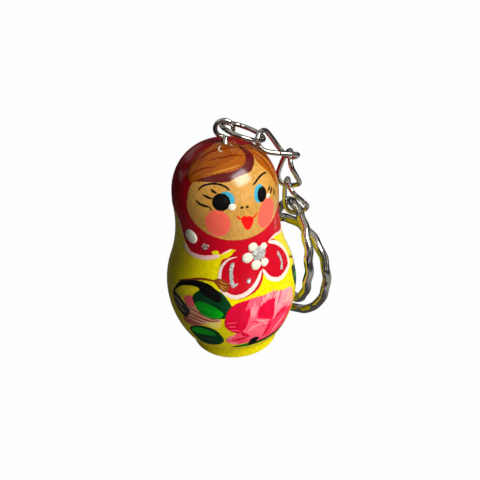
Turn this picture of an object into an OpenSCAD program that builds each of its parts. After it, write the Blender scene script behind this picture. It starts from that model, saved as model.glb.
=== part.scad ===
// Matryoshka key fob: a solid turned wooden doll with a screw eye in its crown, a jump ring,
// three twisted curb links and a two-turn split ring that has sprung apart.
// Millimetres, +Z up. The origin is the centre of the foot's underside, the doll faces -Y,
// and the chain lies over the shoulder on its +X side.

/* [Doll] */
// Height of the doll from the table to the crown
doll_height = 50; // [42:0.5:58]
// Widest diameter of the belly
belly_d = 29.4; // [28:0.2:31]
// Height of the belly's widest ring
belly_z = 15.5; // [14:0.5:17]
// Radius of the belly's curve below its widest ring
belly_low_r = 22; // [18:0.5:28]
// Radius of the belly's curve above its widest ring
belly_top_r = 20; // [17:0.5:23]
// Diameter at the neck
neck_d = 22.5; // [21:0.1:23.5]
// Share of the doll's height at which the neck is thinnest
neck_share = 0.68; // [0.65:0.01:0.7]
// Diameter of the head
head_d = 22.8; // [22:0.1:24]
// Share of the doll's height at which the head is widest
head_share = 0.766; // [0.75:0.002:0.79]
// Squareness of the crown, where 2 is an ellipse
crown_power = 2.2; // [2:0.1:2.6]
// Diameter of the foot
foot_d = 19.8; // [17:0.2:21]
// Height of the foot
foot_height = 3.4; // [2.6:0.1:4.2]
// Radius of the foot's lower edge
foot_edge_r = 0.6; // [0.2:0.1:1]
// Depth of the turned groove between belly and foot
groove_depth = 0.5; // [0.2:0.1:0.9]

/* [Screw eye] */
// Outside diameter of the eye
eye_od = 4.6; // [4.2:0.1:5.4]
// Wire of the eye
eye_wire = 0.95; // [0.8:0.05:1.1]
// Angle that the bent eye leaves open beside its shank
eye_mouth = 38; // [25:1:60]
// Diameter of the threaded shank
shank_d = 1.2; // [1.1:0.05:1.6]
// Length of the shank below the crown
shank_length = 8; // [5:0.5:12]
// Length of the shank that stays above the crown
shank_neck = 1; // [0.8:0.1:1.2]
// Distance of the eye from the doll's axis, as it was screwed in by hand
eye_offset = 0.7; // [0:0.1:1]
// Gap between the shank and its pilot hole
pilot_gap = 0.08; // [0.04:0.01:0.12]

/* [Jump ring] */
// Outside diameter of the jump ring
jump_od = 10.1; // [9.6:0.1:11]
// Wire of the jump ring
jump_wire = 1; // [0.8:0.05:1.1]
// Slope of the jump ring down the shoulder
jump_slope = 22.4; // [20:0.2:25]
// Sideways lean of the jump ring
jump_lean = -10; // [-12:0.5:-8]
// Turn of the jump ring in its own plane, from the eye to its middle
jump_turn = 23; // [19:1:27]
// Place round the jump ring where the chain hangs
jump_hang = -9; // [-12:1:-6]

/* [Curb links] */
// Outside length of a link
link_length = 11.2; // [10.9:0.1:11.8]
// Outside width of a link
link_width = 6.4; // [6.2:0.1:6.8]
// Wire of the links
link_wire = 1.1; // [0.9:0.05:1.2]
// Twist of a link from one bend to the other
link_twist = -92; // [-96:1:-86]

/* [Split ring] */
// Outside diameter of the split ring
ring_od = 25; // [24:0.2:26]
// Wire of the split ring
ring_wire = 2.1; // [1.8:0.1:2.3]
// Height of the waves along the wire
ring_wave = 0.2; // [0:0.02:0.3]
// Waves in one turn
ring_waves = 14; // [8:1:18]

/* [Lay of the chain] */
// Gap between pieces that hook into each other
hook_gap = 0.22; // [0.15:0.01:0.3]
// Distance of the first link's lower bend from the head
lay_gap_1 = 4.2; // [3.9:0.1:4.5]
// Distance of the second link's lower bend from the head
lay_gap_2 = 3.8; // [3.5:0.1:4.2]
// Distance of the third link's lower bend from the belly
lay_gap_3 = 3.4; // [3:0.1:3.8]
// Height of the split ring above the table
table_gap = 0.2; // [0.1:0.1:0.6]
// Least drop of the split ring's second turn below its first
turn_drop = 4.6; // [4.2:0.1:5]

/* [Hidden] */
$fn = 48;

// Steps of the curves
arc_steps = 20;
bend_steps = 12;
leg_steps = 7;
link_sides = 10;
turn_steps = 84;
ring_sides = 10;
// Opening of the butt joints in the jump ring and the links
butt_gap = 0.1;

// Directions of the lay: compass angle of each link's lower bend round the doll's axis
lay_angle_1 = 10.5;
lay_angle_2 = 23.4;
lay_angle_3 = 25.6;
// Roll of each link about its own length
roll_1 = 5;
roll_2 = 62;
roll_3 = 1;
// Compass direction and lean of the split ring's two turns
turn_1_angle = -78;
lean_free = 6;
turn_2_angle = -51;
turn_2_lean = 8;
// Middle of the second turn in plan, seen from the first turn's middle
turn_offset_x = -0.35;
turn_offset_y = 0.75;
// The tube's first and last angle, and the stretch in which the first turn passes into the second
ring_start = -150;
ring_end = 510;
pass_start = 120;
pass_end = 260;

// Vectors
function unit(v) = v / norm(v);
function polar(r, angle) = [r * cos(angle), r * sin(angle)];
function turn_x(v, a) = [v[0], v[1] * cos(a) - v[2] * sin(a), v[1] * sin(a) + v[2] * cos(a)];
function turn_y(v, a) = [v[0] * cos(a) + v[2] * sin(a), v[1], -v[0] * sin(a) + v[2] * cos(a)];
// The point below a start at a given place in plan, a given length away
function hang_to(from, plan, length) =
    let (step = plan - [from[0], from[1]])
    [plan[0], plan[1], from[2] - sqrt(length * length - step * step)];
function smooth(x) = let (t = max(0, min(1, x))) t * t * (3 - 2 * t);

// The doll's outline, from the foot to the crown
function arc(cx, cz, r, a0, a1) =
    [for (i = [0:arc_steps]) let (a = a0 + (a1 - a0) * i / arc_steps) [cx + r * cos(a), cz + r * sin(a)]];

belly_r = belly_d / 2;
neck_z = doll_height * neck_share;
head_z = doll_height * head_share;
neck_r = neck_d / 2;
head_r = head_d / 2;
foot_r = foot_d / 2;
low_cx = belly_r - belly_low_r;
top_cx = belly_r - belly_top_r;
// The neck's hollow curve touches the belly's upper curve: its radius follows from the two centres' distance
neck_rise = neck_z - belly_z;
neck_reach = neck_r - top_cx;
hollow_r = (neck_reach * neck_reach + neck_rise * neck_rise - belly_top_r * belly_top_r)
    / (2 * (belly_top_r - neck_reach));
touch_angle = atan2(neck_rise, neck_reach + hollow_r);
// The belly's lower curve ends a groove's depth above the foot
belly_end = asin((foot_height + groove_depth - belly_z) / belly_low_r);
head_rise = head_z - neck_z;
crown_rise = doll_height - head_z;

doll_outline = concat(
    [[0, 0]],
    arc(foot_r - foot_edge_r, foot_edge_r, foot_edge_r, -90, 0),
    [[foot_r, foot_height - groove_depth], [foot_r - groove_depth, foot_height]],
    arc(low_cx, belly_z, belly_low_r, belly_end, 0),
    [for (p = arc(top_cx, belly_z, belly_top_r, 0, touch_angle)) if (p[1] > belly_z) p],
    [for (p = arc(neck_r + hollow_r, neck_z, hollow_r, 180 + touch_angle, 180))
        if (p[1] > belly_z + belly_top_r * sin(touch_angle) + 0.01) p],
    [for (i = [1:arc_steps]) let (t = i / arc_steps)
        [neck_r + (head_r - neck_r) * (1 - cos(180 * t)) / 2, neck_z + head_rise * t]],
    [for (i = [1:2 * arc_steps]) let (a = 90 * i / (2 * arc_steps))
        [i == 2 * arc_steps ? 0 : head_r * pow(cos(a), 2 / crown_power),
         head_z + crown_rise * pow(sin(a), 2 / crown_power)]]
);

// The eye stands on the crown
eye_r = (eye_od - eye_wire) / 2;
eye_centre = [eye_offset, 0, doll_height + shank_neck + eye_od / 2];

// The jump ring passes through the middle of the eye
jump_r = (jump_od - jump_wire) / 2;
function jump_way(angle) = turn_y(turn_x([cos(angle), sin(angle), 0], jump_lean), jump_slope);
jump_centre = eye_centre + jump_r * jump_way(jump_turn);
jump_end = jump_centre + jump_r * jump_way(jump_hang);

// Each link hooks the piece above it and hangs to its place beside the doll
link_reach = link_length - link_wire;
link_step = link_wire + hook_gap;
top_1 = jump_end - (jump_wire / 2 + link_wire / 2 + hook_gap) * jump_way(jump_hang);
low_1 = hang_to(top_1, polar(head_r + lay_gap_1, lay_angle_1), link_reach);
way_1 = unit(low_1 - top_1);
top_2 = low_1 - link_step * way_1;
low_2 = hang_to(top_2, polar(head_r + lay_gap_2, lay_angle_2), link_reach);
way_2 = unit(low_2 - top_2);
top_3 = low_2 - link_step * way_2;
low_3 = hang_to(top_3, polar(belly_r + lay_gap_3, lay_angle_3), link_reach);
way_3 = unit(low_3 - top_3);

// The split ring hangs in the third link by its first turn, and its second has dropped to the table
ring_r = (ring_od - ring_wire) / 2;
ring_top = low_3 - (ring_wire / 2 + link_wire / 2 + hook_gap) * way_3;
// The first turn leans in under the belly, but its wire stays clear of it
ring_foot_z = ring_top[2] - 2 * ring_r;
ring_room = norm([ring_top[0], ring_top[1]]) - ring_wire - ring_wave - hook_gap;
belly_there = lookup(ring_foot_z, [for (p = doll_outline) if (p[1] > foot_height) [p[1], p[0]]]);
turn_1_lean = min(lean_free, asin((ring_room - belly_there) / (2 * ring_r)));
function lean_up(angle, lean) = [-sin(angle) * sin(lean), cos(angle) * sin(lean), cos(lean)];
turn_1_centre = ring_top - ring_r * lean_up(turn_1_angle, turn_1_lean);
turn_2_stand = ring_r * cos(turn_2_lean) + ring_wire / 2 + ring_wave + table_gap;
turn_2_z = min(turn_2_stand, turn_1_centre[2] - turn_drop);
turn_2_centre = [turn_1_centre[0] + turn_offset_x, turn_1_centre[1] + turn_offset_y, turn_2_z];

// A point of the split ring's wire at an angle along its two turns
function ring_share(a) = smooth((a - pass_start) / (pass_end - pass_start));
function ring_mix(a, first, second) = first + (second - first) * ring_share(a);
function ring_axis(a) =
    let (angle = ring_mix(a, turn_1_angle, turn_2_angle), up = ring_up(a))
    cross([cos(angle), sin(angle), 0], up);
function ring_up(a) = lean_up(ring_mix(a, turn_1_angle, turn_2_angle), ring_mix(a, turn_1_lean, turn_2_lean));
function ring_point(a) =
    let (angle = ring_mix(a, turn_1_angle, turn_2_angle))
    ring_mix(a, turn_1_centre, turn_2_centre)
    + ring_r * cos(a) * [cos(angle), sin(angle), 0] + ring_r * sin(a) * ring_up(a)
    + ring_wave * sin(ring_waves * (a - 90)) * ring_axis(a);

ring_angles = [for (a = [ring_start:360 / turn_steps:ring_end]) a];
ring_path = [for (a = ring_angles) ring_point(a)];
ring_sideways = [for (a = ring_angles) ring_axis(a)];

// Least gap between stretches of the wire that are a third of a turn or more apart
ring_gap = min([for (i = [0:len(ring_path) - 1]) for (j = [i + turn_steps / 3:len(ring_path) - 1])
    norm(ring_path[i] - ring_path[j])]) - ring_wire;
echo(ring_gap = ring_gap);

// An oval's centre line, from the middle of one leg round to the same place, less the butt joint
function oval(half_length, half_width) =
    let (straight = half_length - half_width, start = butt_gap / 2, r = half_width)
    concat(
        [for (i = [0:leg_steps - 1]) [start + (straight - start) * i / leg_steps, -r]],
        [for (i = [0:bend_steps - 1]) let (a = -90 + 180 * i / bend_steps) [straight + r * cos(a), r * sin(a)]],
        [for (i = [0:2 * leg_steps - 1]) [straight - straight * i / leg_steps, r]],
        [for (i = [0:bend_steps - 1]) let (a = 90 + 180 * i / bend_steps) [-straight + r * cos(a), r * sin(a)]],
        [for (i = [0:leg_steps]) [-straight + (straight - start) * i / leg_steps, -r]]
    );

// A closed tube along a path; sideways holds a direction off the path at each point
module tube(path, sideways, d, sides) {
    last = len(path) - 1;
    tangents = [for (i = [0:last]) unit(path[min(i + 1, last)] - path[max(i - 1, 0)])];
    points = [for (i = [0:last]) let (n = unit(cross(tangents[i], sideways[i])), b = cross(tangents[i], n))
        for (j = [0:sides - 1]) let (a = 360 * j / sides) path[i] + d / 2 * (n * cos(a) + b * sin(a))];
    walls = [for (i = [0:last - 1]) for (j = [0:sides - 1])
        let (k = (j + 1) % sides, p = i * sides, q = p + sides)
        each [[p + j, q + k, p + k], [p + j, q + j, q + k]]];
    caps = [for (j = [1:sides - 2]) each
        [[0, j, j + 1], [last * sides, last * sides + j + 1, last * sides + j]]];
    polyhedron(points, concat(walls, caps));
}

// A curb link from its upper bend to its lower one
module curb_link(top, low, roll) {
    way = unit(low - top);
    middle = (top + low) / 2;
    level = unit(cross([0, 0, 1], way));
    rise = cross(way, level);
    half = link_reach / 2;
    flat = oval(half, (link_width - link_wire) / 2);
    angles = [for (p = flat) roll + link_twist * p[0] / link_reach];
    path = [for (i = [0:len(flat) - 1])
        middle + flat[i][0] * way + flat[i][1] * (level * cos(angles[i]) + rise * sin(angles[i]))];
    faces_way = [for (a = angles) rise * cos(a) - level * sin(a)];
    tube(path, faces_way, link_wire, link_sides);
}

module doll() {
    pilot_d = shank_d + 2 * pilot_gap;
    pilot_depth = shank_length + pilot_gap;
    color("gold")
    difference() {
        rotate_extrude($fn = 96) polygon(doll_outline);
        translate([eye_offset, 0, doll_height - pilot_depth]) cylinder(d = pilot_d, h = pilot_depth + shank_d);
    }
}

module screw_eye() {
    point_length = 2 * shank_d;
    color("silver")
    translate(eye_centre) {
        rotate([90, 0, 0])
            rotate([0, 0, eye_mouth - 90])
            rotate_extrude(angle = 360 - eye_mouth) translate([eye_r, 0]) circle(d = eye_wire);
        shank_top = -eye_r;
        shank_low = -eye_od / 2 - shank_neck - shank_length;
        translate([0, 0, shank_low + point_length]) cylinder(d = shank_d, h = shank_top - shank_low - point_length);
        translate([0, 0, shank_low]) cylinder(d1 = shank_d / 4, d2 = shank_d, h = point_length);
    }
}

module jump_ring() {
    color("silver")
    translate(jump_centre)
    rotate([jump_lean, jump_slope, 0])
    difference() {
        rotate_extrude() translate([jump_r, 0]) circle(d = jump_wire);
        rotate([0, 0, 90]) translate([0, -butt_gap / 2, -jump_wire]) cube([jump_od, butt_gap, 2 * jump_wire]);
    }
}

module chain_link_1() {
    color("silver") curb_link(top_1, low_1, roll_1);
}

module chain_link_2() {
    color("silver") curb_link(top_2, low_2, roll_2);
}

module chain_link_3() {
    color("silver") curb_link(top_3, low_3, roll_3);
}

module split_ring() {
    color("silver") tube(ring_path, ring_sideways, ring_wire, ring_sides);
}

doll();
screw_eye();
jump_ring();
chain_link_1();
chain_link_2();
chain_link_3();
split_ring();
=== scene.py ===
import math

import bpy
import numpy as np
from bpy.props import FloatProperty, FloatVectorProperty, PointerProperty
from mathutils import Matrix, Vector


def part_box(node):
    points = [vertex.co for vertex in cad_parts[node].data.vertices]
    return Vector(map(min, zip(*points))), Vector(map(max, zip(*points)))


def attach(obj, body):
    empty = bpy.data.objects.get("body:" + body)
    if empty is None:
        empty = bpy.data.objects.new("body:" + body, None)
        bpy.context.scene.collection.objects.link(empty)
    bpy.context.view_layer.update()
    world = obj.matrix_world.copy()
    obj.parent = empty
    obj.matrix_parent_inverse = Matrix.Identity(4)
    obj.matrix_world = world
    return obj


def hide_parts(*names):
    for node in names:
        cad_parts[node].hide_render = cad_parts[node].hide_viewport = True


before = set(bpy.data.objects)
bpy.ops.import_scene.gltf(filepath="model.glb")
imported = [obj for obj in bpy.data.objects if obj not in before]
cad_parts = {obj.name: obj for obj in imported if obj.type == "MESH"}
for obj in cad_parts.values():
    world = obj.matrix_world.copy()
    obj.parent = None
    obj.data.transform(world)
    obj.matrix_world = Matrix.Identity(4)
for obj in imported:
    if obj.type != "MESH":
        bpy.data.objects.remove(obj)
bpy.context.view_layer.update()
DOLL_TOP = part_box("doll")[1]

bl_info = {
    "name": "Matryoshka key fob",
    "version": (1, 0, 0),
    "blender": (4, 5, 0),
    "location": "View3D > Sidebar > Key fob",
    "description": "Paints and dresses a matryoshka key fob over its frame",
    "category": "Object",
}

MM = 0.001

# Depths in millimetres: a coat of paint reaches a little into the wood, so that no gap shows under it
SUNK = 0.08
SCARF_LIFT = 0.03
SCARF_DEPTH = 0.1
PAINT_WELD = 0.004
WIRE_WELD = 0.002

# Steps round the turned body
TURN_STEPS = 144


def tint(red, green, blue):
    """A paint's colour from its 0 to 255 display values."""
    parts = [value / 255 for value in (red, green, blue)]
    return tuple(p / 12.92 if p <= 0.04045 else ((p + 0.055) / 1.055) ** 2.4 for p in parts)


def colour_value(label, words, shade):
    return FloatVectorProperty(name=label, description=words, subtype="COLOR", size=3, min=0, max=1,
                               default=shade)


def length_value(label, words, millimetres):
    return FloatProperty(name=label, description=words, unit="LENGTH", default=millimetres * MM)


class DollSizes(bpy.types.PropertyGroup):
    """Sizes of the turned doll, as in the part"""
    height: FloatProperty(
        name="Height", description="Height of the doll", unit="LENGTH", default=DOLL_TOP[2])
    belly_r: FloatProperty(
        name="Belly radius", description="Widest radius of the belly", unit="LENGTH", default=DOLL_TOP[0])
    belly_z: length_value("Belly height", "Height of the belly's widest ring", 15.5)
    belly_low_r: length_value("Lower curve", "Radius of the belly's curve below its widest ring", 22)
    belly_top_r: length_value("Upper curve", "Radius of the belly's curve above its widest ring", 20)
    neck_r: length_value("Neck radius", "Radius at the neck", 11.25)
    neck_z: length_value("Neck height", "Height of the neck", 34)
    head_r: length_value("Head radius", "Radius of the head", 11.4)
    head_z: length_value("Head height", "Height of the head's widest ring", 38.3)
    crown_power: FloatProperty(name="Crown", description="Squareness of the crown", default=2.2, min=2,
                               max=3)
    foot_r: length_value("Foot radius", "Radius of the foot", 9.9)
    foot_height: length_value("Foot height", "Height of the foot", 3.4)
    foot_edge_r: length_value("Foot edge", "Radius of the foot's lower edge", 0.6)
    groove: length_value("Groove", "Depth of the groove above the foot", 0.5)


class PaintColours(bpy.types.PropertyGroup):
    """Colours of the paints, the wood and the metal"""
    yellow: colour_value("Body yellow", "Ground colour of the body", tint(244, 226, 2))
    yellow_thin: colour_value("Thin yellow", "Thin grains in the body yellow", tint(214, 190, 2))
    foot_worn: colour_value("Worn foot", "Rubbed paint on the foot", tint(250, 234, 10))
    red: colour_value("Scarf red", "Colour of the scarf and its bow", tint(198, 4, 30))
    wood: colour_value("Bare wood", "Lacquered wood of the face", tint(208, 150, 62))
    wood_pale: colour_value("Pale wood", "Pale streaks in the wood", tint(220, 166, 82))
    hair: colour_value("Hair", "Ground colour of the hair", tint(180, 94, 6))
    hair_dark: colour_value("Dark strands", "Dark strands of the hair", tint(132, 54, 0))
    hair_pale: colour_value("Pale strands", "Pale strands of the hair", tint(210, 152, 60))
    maroon: colour_value("Maroon", "Edge of the hair at the brow", tint(98, 8, 6))
    cheek: colour_value("Cheek", "Colour of the cheeks", tint(245, 100, 80))
    lips: colour_value("Lips", "Colour of the mouth", tint(250, 10, 5))
    blue: colour_value("Eye blue", "Crescents round the eyes", tint(72, 176, 200))
    black: colour_value("Black", "Eyes, brows and outlines", tint(10, 8, 8))
    cream: colour_value("Cream", "Raised dots", tint(238, 232, 208))
    white: colour_value("White", "Outline of the bow and the hem", tint(240, 218, 204))
    dark_green: colour_value("Dark green", "Ground of the leaves", tint(0, 74, 30))
    bright_green: colour_value("Bright green", "Light strokes in the leaves", tint(5, 185, 10))
    olive: colour_value("Olive", "Dry patch in the upper leaf", tint(170, 150, 14))
    grey: colour_value("Leaf grey", "Shaded leaf at the side", tint(74, 78, 72))
    beige: colour_value("Beige", "Thin paint between the leaves", tint(226, 190, 140))
    dusk: colour_value("Dusk pink", "Wiped paint between the leaves", tint(205, 110, 104))
    crimson: colour_value("Crimson", "Deep petals of the rose", tint(190, 0, 30))
    pink: colour_value("Pink", "Petals of the rose", tint(252, 74, 102))
    petal: colour_value("Petal pink", "Lit paint on the petals", tint(255, 106, 126))
    pale: colour_value("Pale pink", "Lit petals of the rose", tint(252, 168, 168))
    hot: colour_value("Hot pink", "Lines and middle of the rose", tint(246, 0, 66))
    brown: colour_value("Stem brown", "Stems and stamens", tint(150, 80, 20))
    glitter: colour_value("Glitter", "Silver glitter", tint(232, 230, 224))
    nickel: colour_value("Nickel", "Plated wire", tint(200, 194, 183))


class StageValues(bpy.types.PropertyGroup):
    """Camera, lamps and floor"""
    lens: FloatProperty(name="Lens", description="Focal length on a 36 mm sensor", default=60.4)
    distance: length_value("Distance", "Camera's distance from the doll's middle", 178.7)
    elevation: FloatProperty(name="Elevation", description="Camera's height above the level",
                             subtype="ANGLE", default=math.radians(34.18))
    roll: FloatProperty(name="Roll", description="Camera's roll", subtype="ANGLE",
                        default=math.radians(4.12))
    shift_across: FloatProperty(name="Shift across", description="Lens shift to the side", default=0.0229)
    shift_up: FloatProperty(name="Shift up", description="Lens shift upwards", default=0.00875)
    window: FloatProperty(name="Window", description="Power of the window lamp", default=1.65, min=0)
    front: FloatProperty(name="Front", description="Power of the low lamp in front", default=2.1, min=0)
    back: FloatProperty(name="Back", description="Power of the lamp behind", default=1.5, min=0)
    floor: colour_value("Floor", "Colour of the floor", (0.25, 0.25, 0.25))


# The turned form, in millimetres: every paint stroke is laid on it

def arc(cx, cz, r, start, end, steps=24):
    """Points along an arc, as radius and height."""
    return [(cx + r * math.cos(a), cz + r * math.sin(a)) for a in np.linspace(start, end, steps + 1)]


def turned_outline():
    """Radius and height along the doll's outline, from the foot to the crown."""
    sizes = bpy.context.scene.fob_sizes
    s = {key: getattr(sizes, key) / MM for key in DollSizes.__annotations__ if key != "crown_power"}
    power = 2 / sizes.crown_power
    low_cx = s["belly_r"] - s["belly_low_r"]
    top_cx = s["belly_r"] - s["belly_top_r"]
    rise = s["neck_z"] - s["belly_z"]
    reach = s["neck_r"] - top_cx
    hollow = (reach ** 2 + rise ** 2 - s["belly_top_r"] ** 2) / (2 * (s["belly_top_r"] - reach))
    touch = math.atan2(rise, reach + hollow)
    belly_end = math.asin((s["foot_height"] + s["groove"] - s["belly_z"]) / s["belly_low_r"])
    points = arc(s["foot_r"] - s["foot_edge_r"], s["foot_edge_r"], s["foot_edge_r"], -math.pi / 2, 0, 6)
    points += [(s["foot_r"], s["foot_height"] - s["groove"]), (s["foot_r"] - s["groove"], s["foot_height"])]
    points += arc(low_cx, s["belly_z"], s["belly_low_r"], belly_end, 0)
    points += arc(top_cx, s["belly_z"], s["belly_top_r"], 0, touch)[1:]
    points += arc(s["neck_r"] + hollow, s["neck_z"], hollow, math.pi + touch, math.pi)[1:]
    for t in np.linspace(0, 1, 11)[1:]:
        points.append((s["neck_r"] + (s["head_r"] - s["neck_r"]) * (1 - math.cos(math.pi * t)) / 2,
                       s["neck_z"] + (s["head_z"] - s["neck_z"]) * t))
    for a in np.linspace(0, math.pi / 2, 49)[1:]:
        points.append((s["head_r"] * max(math.cos(a), 0) ** power,
                       s["head_z"] + (s["height"] - s["head_z"]) * math.sin(a) ** power))
    points[-1] = (0.0, s["height"])
    return np.array(points)


class TurnedForm:
    """The doll's surface, for laying paint on it"""

    def __init__(self):
        self.line = turned_outline()
        steps = np.diff(self.line, axis=0)
        normals = np.stack([steps[:, 1], -steps[:, 0]], axis=1)
        normals /= np.linalg.norm(normals, axis=1)[:, None]
        corner = np.vstack([normals[:1], normals[:-1] + normals[1:], [[0, 1]]])
        self.normals = corner / np.linalg.norm(corner, axis=1)[:, None]

    def place(self, angle, z):
        """The point at an angle from the front towards +X, in degrees, and a height."""
        r = np.interp(z, self.line[:, 1], self.line[:, 0])
        turn = np.radians(angle)
        return np.array([r * np.sin(turn), -r * np.cos(turn), z])

    def settle(self, points):
        """The nearest places on the surface, and the outward directions there."""
        r = np.hypot(points[:, 0], points[:, 1])
        way = points[:, :2] / np.maximum(r, 1e-9)[:, None]
        a, d = self.line[:-1], np.diff(self.line, axis=0)
        offset = np.stack([r, points[:, 2]], axis=1)[:, None, :] - a[None]
        t = np.clip((offset * d).sum(2) / (d * d).sum(1), 0, 1)
        gap = ((offset - t[..., None] * d) ** 2).sum(2)
        k = gap.argmin(1)
        t = t[np.arange(len(k)), k][:, None]
        spot = a[k] + t * d[k]
        lean = self.normals[k] * (1 - t) + self.normals[k + 1] * t
        lean /= np.linalg.norm(lean, axis=1)[:, None]
        places = np.column_stack([spot[:, :1] * way, spot[:, 1]])
        return places, np.column_stack([lean[:, :1] * way, lean[:, 1]])


def curve_through(points, closed=False, steps=12):
    """A smooth curve through points in space."""
    p = np.asarray(points, float)
    if closed:
        p = np.vstack([p[-1], p, p[:2]])
    else:
        p = np.vstack([2 * p[0] - p[1], p, 2 * p[-1] - p[-2]])
    out = []
    for i in range(1, len(p) - 2):
        for t in np.arange(steps) / steps:
            out.append(0.5 * (2 * p[i] + (p[i + 1] - p[i - 1]) * t
                              + (2 * p[i - 1] - 5 * p[i] + 4 * p[i + 1] - p[i + 2]) * t * t
                              + (3 * p[i] - p[i - 1] - 3 * p[i + 1] + p[i + 2]) * t ** 3))
    if not closed:
        out.append(p[-2])
    return np.array(out)


def along(curve, share):
    """Points at shares of a curve's length."""
    walk = np.concatenate([[0], np.cumsum(np.linalg.norm(np.diff(curve, axis=0), axis=1))])
    return np.column_stack([np.interp(share * walk[-1], walk, curve[:, i]) for i in range(3)])


def deselect():
    if bpy.context.object and bpy.context.object.mode != "OBJECT":
        bpy.ops.object.mode_set(mode="OBJECT")
    bpy.ops.object.select_all(action="DESELECT")


def edit_all(obj):
    deselect()
    bpy.context.view_layer.objects.active = obj
    obj.select_set(True)
    bpy.ops.object.mode_set(mode="EDIT")
    bpy.ops.mesh.select_all(action="SELECT")


def new_sheet(across, along_side):
    """A flat grid, with each corner's shares of its two sides."""
    bpy.ops.mesh.primitive_grid_add(x_subdivisions=across, y_subdivisions=along_side, size=1)
    sheet = bpy.context.object
    flat = np.empty(len(sheet.data.vertices) * 3)
    sheet.data.vertices.foreach_get("co", flat)
    shares = flat.reshape(-1, 3) + 0.5
    return sheet, shares[:, 0], shares[:, 1]


def lay(sheet, spots):
    """Moves a sheet's corners to places in millimetres."""
    sheet.data.vertices.foreach_set("co", (spots * MM).ravel())
    sheet.data.update()


def thicken(sheet, depth, paint):
    """Makes a sheet of paint solid, inwards from its face."""
    body = sheet.modifiers.new("paint", "SOLIDIFY")
    body.thickness = depth * MM
    body.offset = -1
    bpy.ops.object.modifier_apply(modifier=body.name)
    sheet.data.materials.append(paint)


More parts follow.
